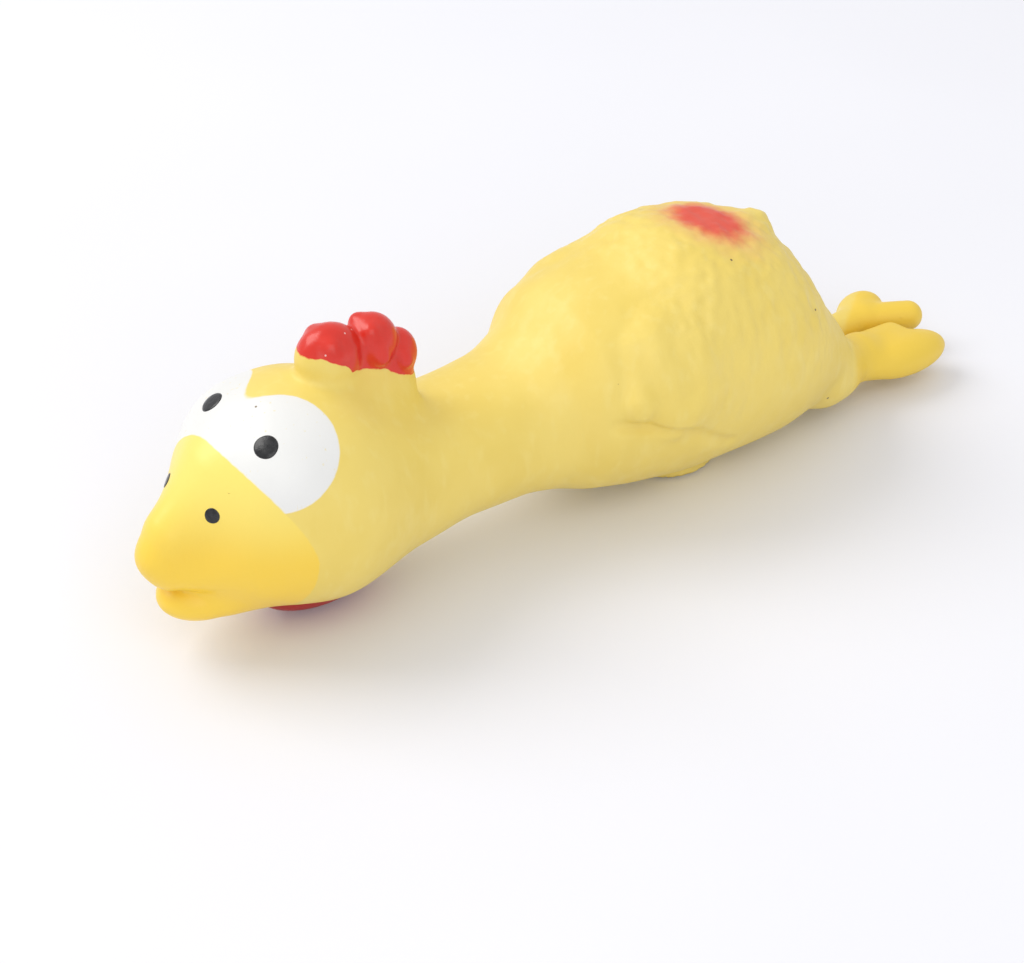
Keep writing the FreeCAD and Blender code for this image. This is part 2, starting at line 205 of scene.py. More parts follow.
def trunk(p):
    top, bottom, half_width = (smooth_curve(p[:, 0], TRUNK, column) for column in (1, 2, 3))
    half_height = (top - bottom) / 2
    side = np.abs(p[:, 1])
    rise = p[:, 2] - (top + bottom) / 2
    n = BOTTOM_SQUARENESS + (TOP_SQUARENESS - BOTTOM_SQUARENESS) * fade(rise, -6.0, 6.0)
    rise = np.abs(rise)
    reach = ((side / half_width) ** n + (rise / half_height) ** n) ** (1 / n) + 1e-9
    distance = np.hypot(side, rise) * (1 - 1 / reach)
    core = -0.7 * np.minimum(half_width, half_height)
    distance = np.where(reach < 0.3, core, distance)
    ends = np.maximum(TRUNK[0][0] + 2 - p[:, 0], p[:, 0] - TRUNK[-1][0] - 1)
    return -smooth_union(-distance, -ends, 6.0).astype(np.float32)


def head(p, q):
    shape = egg(p, HEAD_CENTRE, HEAD_HALF_SIZES)
    eye_bulge = egg(q, (24.6, 7.4, 33.0), (8.0, 8.2, 8.0))
    shape = smooth_union(shape, eye_bulge, 3.0)
    upper_beak = limb(p, (17.5, 0, 28.2), (5.0, 0, 21.3), 8.8, 4.4)
    ridge = limb(p, (16.5, 0, 32.5), (6.8, 0, 25.6), 5.2, 3.8)
    lip = limb(q, (6.2, 1.0, 18.4), (18.0, 6.0, 20.0), 3.4, 7.2)
    upper_beak = smooth_union(smooth_union(upper_beak, ridge, 3.0), lip, 2.5)
    shape = smooth_union(shape, upper_beak, 4.0)
    jaw = egg(p, (14.0, 0, 11.8), (10.2, 7.3, 4.6), pitch=2)
    # the mouth is a sharp crease at the lips, and dies away along the cheek
    crease_blend = 0.8 + 5.0 * fade(p[:, 0], 7.0, 14.0)
    return smooth_union(shape, jaw, crease_blend)


def comb(p, q):
    lobes = [egg(p, centre, half_sizes) for centre, half_sizes in COMB_LOBES]
    shape = lobes[0]
    for lobe in lobes[1:]:
        shape = smooth_union(shape, lobe, 1.0)
    for start, end, radius in COMB_FOLDS:
        shape = smooth_union(shape, limb(q, start, end, radius, radius), 0.7)
    return shape


def near_foot(p):
    """The left leg and its foot, a flat paddle with a short inner toe."""
    leg = limb(p, (138.5, -8.0, 9.6), (149.5, -5.6, 8.2), 6.0, 4.3)
    paddle = egg(p, (159.3, -7.8, 6.4), (10.2, 4.8, 4.0), pitch=-4)
    inner_toe = limb(p, (151.5, -4.6, 7.6), (160.5, -3.0, 6.9), 3.9, 3.1)
    return smooth_union(smooth_union(leg, paddle, 3.0), inner_toe, 2.0)


def far_foot(p):
    """The right leg and its foot, a short outer toe and a long inner toe that is turned in."""
    leg = limb(p, (138.5, 7.4, 9.2), (150.0, 4.8, 6.6), 5.8, 3.2)
    shank = limb(p, (150.0, 4.8, 6.6), (160.0, 5.6, 6.8), 3.2, 3.3)
    outer_toe = egg(p, (162.6, 8.2, 6.5), (5.0, 3.7, 3.8))
    inner_toe = limb(p, (161.0, 5.0, 6.6), (169.0, 1.6, 6.6), 3.3, 2.9)
    foot = smooth_union(smooth_union(leg, shank, 1.0), outer_toe, 2.0)
    return smooth_union(foot, inner_toe, 1.2)


def past_squeaker(p, clearance=0.0):
    """How far the points are outside the squeaker's round housing and its clearance."""
    low, high = node_box("squeaker_housing")
    centre, radius = (low + high) / 2, (high - low)[0] / 2 + clearance
    return np.hypot(p[:, 0] - centre[0], p[:, 1] - centre[1]) - radius


def squeaker_ring(p):
    """The moulded ring that grips the squeaker in the belly."""
    beyond = past_squeaker(p) - RING_WIDTH
    return np.maximum(beyond, np.abs(p[:, 2] - RING_MIDDLE) - RING_HALF_HEIGHT)


def squeaker_pocket(p):
    """The shallow round hole that the housing sits in."""
    return np.maximum(past_squeaker(p, POCKET_CLEARANCE), p[:, 2] - POCKET_DEPTH)


def groove(p, places, width):
    """1 along the line through the places, falling to 0 about a width away from it."""
    lines = [limb(p, start, end, 0.0, 0.0) for start, end in zip(places, places[1:])]
    return np.exp(-(np.min(lines, 0) / width) ** 2)


def skin(p):
    """Distance to the whole skin, negative inside."""
    q = mirrored(p)
    shape = smooth_union(trunk(p), head(p, q), 8.0)
    crest = egg(p, (43.0, 0, 38.5), (11.5, 4.4, 8.0), pitch=-8)
    shape = smooth_union(shape, crest, 5.0)
    shape = smooth_union(shape, comb(p, q), 1.5)
    thigh = limb(q, (98.0, 11.2, 27.5), (141.0, 7.6, 9.8), 12.2, 5.4)
    thigh = smooth_union(thigh, egg(q, (97.6, 11.0, 30.5), (12.0, 10.4, 12.0)), 2.0)
    knee = limb(q, (90.4, 12.8, 36.2), (88.6, 17.2, 28.7), 3.3, 4.1)
    shape = smooth_union(shape, smooth_union(thigh, knee, 1.0), 1.0)
    shape = shape + 1.2 * groove(q, KNEE_HOLLOW, 3.6) + 0.9 * groove(q, THIGH_FOLD, 1.2)
    tail = limb(p, (120.5, 0, 38.8), (128.0, 0.2, 42.4), 5.0, 2.0)
    shape = smooth_union(shape, tail, 5.0)
    wattle = egg(p, WATTLE_CENTRE, WATTLE_HALF_SIZES)
    shape = smooth_union(shape, wattle, 1.5)
    # the feet lie close together, so each joins the body and not the other foot
    with_near_foot = smooth_union(shape, near_foot(p), 2.5)
    with_far_foot = smooth_union(shape, far_foot(p), 2.5)
    shape = np.minimum(with_near_foot, with_far_foot)
    shape = smooth_union(shape, squeaker_ring(p), 1.2)
    return smooth_cut(shape, squeaker_pocket(p), 0.6)


# ---------------------------------------------------------------- where the paint goes
# Each is a signed distance in mm along the skin, negative under that paint.

def beak_paint(p):
    rise = p[:, 2] - 23.0
    rear_edge = 23.6 - np.where(rise > 0, 0.125 * np.abs(rise) ** 1.5, 0.010 * rise ** 2)
    rear_edge = rear_edge - 0.05 * np.maximum(p[:, 1], 0) ** 2
    return p[:, 0] - rear_edge


def white_paint(p):
    def cap(direction, angle):
        axis = np.array(direction) / np.linalg.norm(direction)
        arm = p - np.array(HEAD_CENTRE)
        turn = np.arccos(np.clip(arm @ axis / (np.linalg.norm(arm, axis=1) + 1e-6), -1, 1))
        return (turn - math.radians(angle)) * HEAD_HALF_SIZES[0]
    eyes = smooth_union(cap((-0.385, -0.485, 0.785), 29.8), cap((-0.50, 0.56, 0.66), 30.5), 6.0)
    bridge = cap((-0.70, 0, 0.714), 15)
    return smooth_union(eyes, bridge, 3.0)


COMB_EDGE = [(30.0, 49.9), (35.0, 49.9), (36.0, 49.4), (38.8, 47.8), (39.9, 46.0), (43.9, 44.6),
             (46.8, 43.7), (48.2, 42.3), (53.5, 39.2), (58.0, 39.0)]


def comb_paint(p):
    edge = np.interp(p[:, 0], *zip(*COMB_EDGE))
    behind = p[:, 0] - COMB_EDGE[-1][0]
    return np.maximum(edge - p[:, 2], behind)


def wattle_paint(p):
    return egg(p, WATTLE_CENTRE, WATTLE_HALF_SIZES) - 0.5


def foot_paint(p):
    skew = np.where(p[:, 1] < 0, 0.57, 1.3)
    return 150.5 + skew * p[:, 1] - p[:, 0]


def blush_paint(p):
    along, across = p[:, 0] - 116.0, p[:, 1] + 0.7
    off_centre = np.hypot((0.42 * along - 0.91 * across) / 9.0, (0.91 * along + 0.42 * across) / 7.0)
    return 8.0 * (off_centre - 1) + np.where(p[:, 2] < 30, 20, 0)


PAINTS = {"beak_paint": beak_paint, "white_paint": white_paint, "comb_paint": comb_paint,
          "wattle_paint": wattle_paint, "foot_paint": foot_paint, "blush_paint": blush_paint}


# ---------------------------------------------------------------- meshing

GRID = 0.5
SKIN_BOX = ((-1.25, -24.25, -1.25), (LENGTH + 1.75, 24.75, 54.75))
SLAB_POINTS = 400000
STEEPEST_SNAP = 0.8
LONGEST_PAINT_SNAP = 0.45 * GRID


def sample_grid(field, low, counts):
    """The field at every grid corner, a slab of stations at a time."""
    values = np.empty(counts, np.float32)
    y, z = np.meshgrid(low[1] + GRID * np.arange(counts[1]), low[2] + GRID * np.arange(counts[2]),
                       indexing="ij")
    slab = max(1, SLAB_POINTS // y.size)
    for first in range(0, counts[0], slab):
        stations = low[0] + GRID * np.arange(first, min(first + slab, counts[0]))
        points = np.stack([np.repeat(stations, y.size), np.tile(y.ravel(), len(stations)),
                           np.tile(z.ravel(), len(stations))], 1).astype(np.float32)
        values[first:first + slab] = field(points).reshape(len(stations), *y.shape)
    return values


def surface_net(field, low, high):
    """Vertices and quads of the field's zero surface: one vertex in each cell that it crosses."""
    low = np.array(low)
    counts = np.ceil((np.array(high) - low) / GRID).astype(int) + 1
    values = sample_grid(field, low, counts)
    inside = values < 0
    corners = [(a, b, c) for a in (0, 1) for b in (0, 1) for c in (0, 1)]
    filled = sum(inside[a:counts[0] - 1 + a, b:counts[1] - 1 + b, c:counts[2] - 1 + c].astype(np.int8)
                 for a, b, c in corners)
    crossed = (filled > 0) & (filled < 8)
    cells = np.argwhere(crossed)
    number = -np.ones(counts - 1, np.int64)
    number[crossed] = np.arange(len(cells))

    total, hits = np.zeros((len(cells), 3)), np.zeros(len(cells))
    for corner in corners:
        for axis in (k for k in range(3) if not corner[k]):
            far = np.array(corner)
            far[axis] = 1
            here = values[tuple((cells + corner).T)]
            there = values[tuple((cells + far).T)]
            hit = (here < 0) != (there < 0)
            along = np.where(hit, here / np.where(hit, here - there, 1), 0)
            crossing = np.array(corner, float)[None].repeat(len(cells), 0)
            crossing[:, axis] += along
            total[hit] += crossing[hit]
            hits[hit] += 1
    vertices = (cells + total / hits[:, None]) * GRID + low

    quads = []
    for axis in range(3):
        u, v = (axis + 1) % 3, (axis + 2) % 3
        near = np.take(inside, range(counts[axis] - 1), axis)
        far = np.take(inside, range(1, counts[axis]), axis)
        edges = np.argwhere(near != far)
        inner = (edges[:, [u, v]] > 0).all(1) & (edges[:, [u, v]] < counts[[u, v]] - 1).all(1)
        edges = edges[inner]
        ring = []
        for du, dv in ((1, 1), (0, 1), (0, 0), (1, 0)):
            cell = edges.copy()
            cell[:, u] -= du
            cell[:, v] -= dv
            ring.append(number[tuple(cell.T)])
        faces = np.stack(ring, 1)
        outward = near[tuple(edges.T)]
        faces[~outward] = faces[~outward][:, ::-1]
        quads.append(faces)
    return vertices, np.concatenate(quads)


def slope_of(field, points, step=0.05):
    slopes = []
    for axis in np.eye(3) * step:
        ahead = field((points + axis).astype(np.float32))
        behind = field((points - axis).astype(np.float32))
        slopes.append((ahead - behind) / (2 * step))
    return np.stack(slopes, 1)


def settle(field, points, rounds=2, free=(1, 1, 1)):
    """Points moved onto the field's zero surface along the free axes."""
    for _ in range(rounds):
        slope = slope_of(field, points) * np.array(free)
        steep = np.maximum((slope * slope).sum(1), 0.05)
        points = points - (field(points.astype(np.float32)) / steep)[:, None] * slope
    return points


def snap_to_plane(points, axis, level):
    """Vertices beside a plane moved onto it, except where the skin runs along that plane."""
    near = np.flatnonzero(np.abs(points[:, axis] - level) < GRID / 2)
    slope = slope_of(skin, points[near])
    near = near[np.abs(slope[:, axis]) < STEEPEST_SNAP * np.linalg.norm(slope, axis=1)]
    moved = points[near]
    moved[:, axis] = level
    points[near] = settle(skin, moved, free=np.arange(3) != axis)


def snap_to_paint(points, paint):
    """Vertices beside a paint's edge moved onto it, so that the pieces part along a clean line."""
    value = paint(points)
    rows = np.flatnonzero(np.abs(value) < GRID)
    here = points[rows]
    normal = slope_of(skin, here)
    normal /= np.linalg.norm(normal, axis=1)[:, None] + 1e-9
    slope = slope_of(paint, here)
    slope -= (slope * normal).sum(1)[:, None] * normal
    steep = (slope * slope).sum(1)
    shift = -(value[rows] / np.maximum(steep, 0.05))[:, None] * slope
    near = (np.linalg.norm(shift, axis=1) < LONGEST_PAINT_SNAP) & (steep > 0.1)
    points[rows[near]] = settle(skin, here[near] + shift[near], rounds=1)


def vertex_normals(points, quads):
    a, b, c, d = (points[quads[:, corner]] for corner in range(4))
    diagonals = np.cross(c - a, d - b)
    normals = np.zeros_like(points)
    for corner in range(4):
        np.add.at(normals, quads[:, corner], diagonals)
    return normals / (np.linalg.norm(normals, axis=1)[:, None] + 1e-12)


# ---------------------------------------------------------------- goose bumps and moulding marks

def lattice_noise(p, sizes, seed):
    """Smooth noise from -1 to 1 whose lumps are of the given sizes in mm."""
    q = p / np.array(sizes)
    cell = np.floor(q).astype(np.int64)
    t = q - cell
    t = t * t * (3 - 2 * t)
    total = np.zeros(len(p))
    for corner in np.ndindex(2, 2, 2):
        key = (cell + corner) @ np.array([73856093, 19349663, 83492791]) + seed * 2654435761
        key = (key ^ (key >> 13)) * 1274126177 & 0x7FFFFFFF
        key = (key ^ (key >> 16)) & 0xFFFF
        weight = np.prod(np.where(corner, t, 1 - t), axis=1)
        total += weight * (key / 32767.5 - 1)
    return total


def relief(p):
    """How far the skin stands proud of its plain shape, in mm."""
    station, height = p[:, 0], p[:, 2]
    bumps = lattice_noise(p, (1.8, 1.9, 5.0), 1) + 0.6 * lattice_noise(p, (1.0, 1.1, 2.2), 2)
    pebbles = lattice_noise(p, (1.7, 1.7, 1.9), 3)
    plucked = fade(station, 86, 106) * (1 - fade(station, 128, 138)) * fade(height, 14, 34)
    top = fade(height, 38, 45)
    body = fade(station, 58, 75) * (1 - fade(station, 136, 146))
    moulding = lattice_noise(p, (11, 9, 12), 4) + 0.5 * lattice_noise(p, (5, 4, 6), 5)
    goose_bumps = plucked * (0.30 * bumps * (1 - 0.4 * top) + 0.22 * pebbles * top)
    return goose_bumps + (0.03 + 0.06 * body) * moulding


# ---------------------------------------------------------------- the skin's mesh

NOD = joint_place("head_lift")
BEND = joint_place("neck_bend")
ANKLE = joint_place("left_foot_flap")

HEAD_END = round(NOD[0]) - 8.0
NECK_MIDDLE = (round(NOD[0]) + round(BEND[0])) / 2
NECK_END = round(BEND[0]) + 11.0
LEG_START = round(ANKLE[0]) - 5.5
LEG_END = round(ANKLE[0]) + 4.0


def make_skin_mesh():
    """The whole skin's vertices, quads and normals, and where each vertex was before the relief."""
    points, quads = surface_net(skin, *SKIN_BOX)
    points = settle(skin, points)
    for station in (HEAD_END, NECK_MIDDLE, NECK_END, LEG_START, LEG_END):
        snap_to_plane(points, 0, station)
    snap_to_plane(points, 1, 0.0)
    for paint in (beak_paint, white_paint, comb_paint, wattle_paint):
        snap_to_paint(points, paint)
    rest = points.copy()
    off_the_floor = fade(points[:, 2], 0.4, 2.0)
    lift = relief(points) * off_the_floor
    points = points + vertex_normals(points, quads) * lift[:, None]
    normals = vertex_normals(points, quads)
    return {"points": points, "quads": quads, "normals": normals, "rest": rest}


def name_faces(mesh):
    """The name of the piece that each face belongs to."""
    centres = mesh["rest"][mesh["quads"]].mean(1)
    station, side, height = centres.T
    left = side < 0
    on_left_foot = near_foot(centres) < far_foot(centres)
    on_beak = beak_paint(centres) < 0
    # a face belongs to the first of these that it lies in, and otherwise to the head
    regions = {
        "left_foot": (station > LEG_END) & on_left_foot,
        "right_foot": station > LEG_END,
        "left_ankle": (station > LEG_START) & left,
        "right_ankle": station > LEG_START,
        "left_torso": (station > NECK_END) & left,
        "right_torso": station > NECK_END,
        "neck_rear": station > NECK_MIDDLE,
        "comb": comb_paint(centres) < 0,
        "neck_front": station > HEAD_END,
        "upper_beak": on_beak & (height > MOUTH_HEIGHT),
        "lower_beak": on_beak,
        "eye_white": white_paint(centres) < 0,
        "wattle": wattle_paint(centres) < 0,
    }
    return np.select(list(regions.values()), list(regions), "head")


WALL = 0.9
FARTHEST_PAINT = 20


def rim_quads(quads, count):
    """Quads that join the outer wall's open edges to the inner wall's."""
    edges = np.concatenate([quads[:, [k, (k + 1) % 4]] for k in range(4)])
    keys = {tuple(edge) for edge in edges.tolist()}
    open_edges = [(a, b) for a, b in edges.tolist() if (b, a) not in keys]
    return np.array([(b, a, a + count, b + count) for a, b in open_edges], np.int64).reshape(-1, 4)


def make_shell(name, mesh, chosen):
    """One piece of the skin, with an inner wall and rims, so that it is a closed solid."""
    used, quads = np.unique(mesh["quads"][chosen], return_inverse=True)
    quads = quads.reshape(-1, 4)
    outer, normals = mesh["points"][used], mesh["normals"][used]
    points = np.concatenate([outer, outer - normals * WALL])
    count = len(used)
    faces = np.concatenate([quads, quads[:, ::-1] + count, rim_quads(quads, count)])
    piece = make_piece(name, points, faces.tolist(), np.tile(mesh["rest"][used], (2, 1)))
    piece.data.normals_split_custom_set_from_vertices(np.concatenate([normals, -normals]).tolist())
    return piece


def to_frame(points):
    """Stations in mm to the frame's metres."""
    return (points + np.array([BEAK_TIP, 0, 0])) * MM


def write_paint(data, rest):
    """Stores each vertex's rest place and its distances to the paints' edges for the materials."""
    place = data.attributes.new("rest_mm", "FLOAT_VECTOR", "POINT")
    place.data.foreach_set("vector", rest.astype(np.float32).ravel())
    for name, paint in PAINTS.items():
        values = np.clip(paint(rest), -FARTHEST_PAINT, FARTHEST_PAINT).astype(np.float32)
        data.attributes.new(name, "FLOAT", "POINT").data.foreach_set("value", values)


# ---------------------------------------------------------------- eyes and nostrils

def make_paint_dot(centre, radius, thickness, rings=10, around=56):
    """Vertices and quads of a low dome of paint that lies on the skin."""
    centre = settle(skin, np.array([centre], float), rounds=6)[0]
    normal = slope_of(skin, centre[None])[0]
    normal /= np.linalg.norm(normal)
    across = np.cross(normal, (0, 0, 1))
    across /= np.linalg.norm(across)
    up = np.cross(across, normal)
    points, faces = [], []
    for ring in range(rings + 1):
        share = ring / rings
        for turn in np.arange(around) * math.tau / around:
            wobble = 1 + 0.012 * math.sin(3 * turn + centre[0]) + 0.006 * math.sin(5 * turn)
            arm = (across * math.cos(turn) + up * math.sin(turn)) * radius * wobble * max(share, 0.02)
            points.append(centre + arm)
    points = settle(skin, np.array(points), rounds=3)
    normals = slope_of(skin, points)
    normals /= np.linalg.norm(normals, axis=1)[:, None]
    share = np.repeat(np.arange(rings + 1) / rings, around)
    rise = thickness * np.sqrt(np.clip(1 - share ** 3, 0, 1))
    top = points + normals * rise[:, None]
    bottom = points - normals * thickness
    for ring in range(rings):
        for k in range(around):
            a, b = ring * around + k, ring * around + (k + 1) % around
            faces.append((a, a + around, b + around, b))
    count = len(points)
    faces += [tuple(i + count for i in face[::-1]) for face in faces]
    rim = range(rings * around, (rings + 1) * around)
    faces += [(a, a + count, b + count, b) for a, b in zip(rim, [*rim[1:], rim[0]])]
    middle = range(around)
    faces += [tuple(middle), tuple(i + count for i in reversed(middle))]
    return np.concatenate([top, bottom]), faces


def make_piece(name, points, faces, rest):
    data = bpy.data.meshes.new(name)
    data.from_pydata(to_frame(points).tolist(), [], faces)
    data.shade_smooth()
    write_paint(data, rest)
    piece = bpy.data.objects.new(name, data)
    bpy.context.scene.collection.objects.link(piece)
    return piece


# ---------------------------------------------------------------- materials

class Graph:
    """Short names for the nodes that the materials below use."""

    def __init__(self, tree):
        self.tree = tree

    def add(self, kind, inputs=(), **settings):
        node = self.tree.nodes.new(kind)
        for name, value in settings.items():
            setattr(node, name, value)
        for socket, value in dict(inputs).items():
            self.feed(node.inputs[socket], value)
        return node

    def feed(self, socket, value):
        if isinstance(value, bpy.types.NodeSocket):
            self.tree.links.new(value, socket)
        else:
            socket.default_value = value

    def attribute(self, name, output="Fac"):
        return self.add("ShaderNodeAttribute", attribute_name=name).outputs[output]

    def math(self, operation, a, b=0.0, clamp=False):
        node = self.add("ShaderNodeMath", {0: a, 1: b}, operation=operation, use_clamp=clamp)
        return node.outputs[0]

    def noise(self, place, size, detail=2.0, roughness=0.5, stretch=(1, 1, 1)):
        """Noise whose lumps are about size mm, drawn out by stretch."""
        scale = tuple(1 / (size * s) for s in stretch)
        placed = self.add("ShaderNodeVectorMath", {0: place, 1: scale}, operation="MULTIPLY").outputs[0]
        node = self.add("ShaderNodeTexNoise", {"Vector": placed, "Scale": 1.0, "Detail": detail,
                                               "Roughness": roughness})
        return node.outputs[0]

    def ramp(self, value, start, end, low=0.0, high=1.0):
        node = self.add("ShaderNodeMapRange", {"Value": value, "From Min": start, "From Max": end,
                                               "To Min": low, "To Max": high},
                        interpolation_type="SMOOTHSTEP")
        return node.outputs[0]

    def mix(self, share, a, b):
        """Colour a, or colour b where share is 1."""
        node = self.add("ShaderNodeMix", data_type="RGBA")
        for socket, value in ((0, share), (6, a), (7, b)):
            self.feed(node.inputs[socket], value)
        return node.outputs[2]

    def blend_value(self, share, a, b):
        node = self.add("ShaderNodeMix", {0: share, 2: a, 3: b}, data_type="FLOAT")
        return node.outputs[0]


def rgb(red, green, blue):
    return (red, green, blue, 1.0)


LATEX_LIGHT = rgb(0.825, 0.635, 0.150)
LATEX_DEEP = rgb(0.795, 0.600, 0.125)
# the beak's two yellows are painted light: paler at its top as if lit from above, deeper lower down
BEAK_PAINTED_LIGHT_TOP = rgb(0.90, 0.72, 0.155)
BEAK_PAINTED_SHADE_LOW = rgb(0.89, 0.60, 0.055)
FOOT_COLOUR = rgb(0.83, 0.575, 0.062)
WHITE_COLOUR = rgb(0.78, 0.775, 0.75)
COMB_COLOUR = rgb(0.68, 0.030, 0.016)
COMB_DEEP = rgb(0.64, 0.024, 0.012)
WATTLE_COLOUR = rgb(0.40, 0.020, 0.020)
BLUSH_COLOUR = rgb(0.72, 0.062, 0.040)
SPECK_COLOUR = rgb(0.16, 0.10, 0.04)
# pale flecks on the comb: partly painted highlight glints, partly scuffs in the red paint
GLINT_AND_SCUFF_COLOUR = rgb(0.80, 0.50, 0.46)
SCUFF_COLOUR = rgb(0.78, 0.68, 0.38)
STREAK_COLOUR = rgb(0.86, 0.71, 0.24)
HALO_COLOUR = rgb(0.80, 0.36, 0.15)
BLACK, BLACK_WORN = rgb(0.008, 0.008, 0.009), rgb(0.022, 0.022, 0.024)
HOUSING_LIGHT, HOUSING_DARK = rgb(0.82, 0.82, 0.79), rgb(0.76, 0.76, 0.73)
FILM_LIGHT, FILM_DARK = rgb(0.75, 0.66, 0.42), rgb(0.68, 0.58, 0.35)
PAPER_LIGHT, PAPER_DARK = rgb(0.825, 0.825, 0.865), rgb(0.81, 0.81, 0.85)


def specks(graph, place, spacing, radius, share):
    """A mask of small round specks: about one in every spacing mm, and only a share of those."""
    scaled = graph.add("ShaderNodeVectorMath", {0: place, "Scale": 1 / spacing}, operation="SCALE")
    cells = graph.add("ShaderNodeTexVoronoi", {"Vector": scaled.outputs[0], "Scale": 1.0})
    inside = graph.ramp(cells.outputs["Distance"], radius / spacing, 0.6 * radius / spacing)
    lot = graph.add("ShaderNodeSeparateColor", {0: cells.outputs["Color"]}).outputs[0]
    chosen = graph.math("LESS_THAN", lot, share)
    return graph.math("MULTIPLY", inside, chosen)


def paint_mask(graph, name, place, softness, wander):
    """1 under the named paint. Its edge is softness mm wide and wanders by wander mm."""
    waver = graph.noise(place, 1.4, detail=3)
    shift = graph.math("MULTIPLY", graph.math("SUBTRACT", waver, 0.5), 2 * wander)
    edge = graph.math("ADD", graph.attribute(name), shift)
    return graph.ramp(edge, softness / 2, -softness / 2)


def painted_latex_group():
    """The skin's colour, roughness and fine relief everywhere, from its rest place and paint edges."""
    tree = bpy.data.node_groups.new("painted_latex", "ShaderNodeTree")
    for name, kind in (("Color", "NodeSocketColor"), ("Roughness", "NodeSocketFloat"),
                       ("Height", "NodeSocketFloat")):
        tree.interface.new_socket(name, in_out="OUTPUT", socket_type=kind)
    graph = Graph(tree)
    place = graph.attribute("rest_mm", "Vector")
    height = graph.add("ShaderNodeSeparateXYZ", {0: place}).outputs[2]

    clouds = graph.ramp(graph.noise(place, 14, detail=3), 0.35, 0.65)
    colour = graph.mix(clouds, LATEX_LIGHT, LATEX_DEEP)
    streaks = graph.ramp(graph.noise(place, 2.2, stretch=(1, 1, 3)), 0.5, 0.75, 0, 0.25)
    colour = graph.mix(streaks, colour, STREAK_COLOUR)
    roughness = graph.ramp(graph.noise(place, 3.0, detail=4), 0.3, 0.7, 0.40, 0.52)

    blush_edge = graph.math("ADD", graph.attribute("blush_paint"),
                            graph.math("MULTIPLY", graph.noise(place, 2.4, detail=4), 3.6))
    blush_halo = graph.ramp(blush_edge, 6.0, -1.0, 0, 0.55)
    colour = graph.mix(blush_halo, colour, HALO_COLOUR)
    blush_core = graph.ramp(blush_edge, 2.5, -2.5, 0, 0.95)
    colour = graph.mix(blush_core, colour, BLUSH_COLOUR)

    foot = paint_mask(graph, "foot_paint", place, 2.2, 0.5)
    colour = graph.mix(foot, colour, FOOT_COLOUR)
    white = paint_mask(graph, "white_paint", place, 0.35, 0.12)
    colour = graph.mix(white, colour, WHITE_COLOUR)
    roughness = graph.blend_value(white, roughness, 0.34)
    scuffs = graph.ramp(graph.noise(place, 1.6, detail=4, stretch=(0.5, 0.5, 2)), 0.66, 0.74, 0, 0.7)
    colour = graph.mix(graph.math("MULTIPLY", scuffs, white), colour, SCUFF_COLOUR)
    beak = paint_mask(graph, "beak_paint", place, 0.45, 0.2)
    # painted light: the beak's yellow runs from a paler top, as if lit from above, to a deeper yellow lower
    # down
    painted_light_down_the_beak = graph.ramp(height, 36, 22)
    beak_colour_with_painted_light = graph.mix(painted_light_down_the_beak, BEAK_PAINTED_LIGHT_TOP, BEAK_PAINTED_SHADE_LOW)
    colour = graph.mix(beak, colour, beak_colour_with_painted_light)
    roughness = graph.blend_value(beak, roughness, 0.36)
    comb_mask = paint_mask(graph, "comb_paint", place, 0.3, 0.35)
    comb_clouds = graph.ramp(graph.noise(place, 2.5, detail=3), 0.35, 0.7)
    comb_colour = graph.mix(comb_clouds, COMB_COLOUR, COMB_DEEP)
    # pale flecks on the comb: partly painted highlight glints, partly scuffs in the red paint
    glint_and_scuff_flecks = specks(graph, place, 2.2, 0.22, 0.5)
    comb_colour = graph.mix(glint_and_scuff_flecks, comb_colour, GLINT_AND_SCUFF_COLOUR)
    colour = graph.mix(comb_mask, colour, comb_colour)
    roughness = graph.blend_value(comb_mask, roughness, 0.24)
    wattle_mask = paint_mask(graph, "wattle_paint", place, 0.4, 0.25)
    colour = graph.mix(wattle_mask, colour, WATTLE_COLOUR)

    dirt = specks(graph, place, 7.0, 0.30, 0.35)
    colour = graph.mix(dirt, colour, SPECK_COLOUR)

    peel = graph.noise(place, 0.55, detail=3)
    dimples = graph.noise(place, 1.8, detail=2, stretch=(1, 1, 1.8))
    relief_height = graph.math("ADD", graph.math("MULTIPLY", peel, 0.25), dimples)

    end = graph.add("NodeGroupOutput")
    for name, value in (("Color", colour), ("Roughness", roughness), ("Height", relief_height)):
        graph.feed(end.inputs[name], value)
    return tree


def new_material(name):
    material = bpy.data.materials.new(name)
    material.use_nodes = True
    return material, Graph(material.node_tree), material.node_tree.nodes["Principled BSDF"]


def painted_latex(name, group, specular, bump_mm):
    material, graph, shader = new_material(name)
    paint = graph.add("ShaderNodeGroup", node_tree=group)
    bump = graph.add("ShaderNodeBump", {"Height": paint.outputs["Height"], "Distance": bump_mm * MM,
                                        "Strength": 1.0})
    graph.feed(shader.inputs["Base Color"], paint.outputs["Color"])
    graph.feed(shader.inputs["Roughness"], paint.outputs["Roughness"])
    graph.feed(shader.inputs["Normal"], bump.outputs[0])
    shader.inputs["Specular IOR Level"].default_value = specular
    return material


def black_paint():
    material, graph, shader = new_material("paint_black")
    place = graph.attribute("rest_mm", "Vector")
    streak = graph.ramp(graph.noise(place, 0.8, detail=4), 0.35, 0.7)
    graph.feed(shader.inputs["Base Color"], graph.mix(streak, BLACK, BLACK_WORN))
    graph.feed(shader.inputs["Roughness"], graph.ramp(graph.noise(place, 1.1), 0.3, 0.7, 0.16, 0.30))
    bump = graph.add("ShaderNodeBump", {"Height": graph.noise(place, 0.7, detail=2), "Distance": 0.03 * MM})
    graph.feed(shader.inputs["Normal"], bump.outputs[0])
    return material


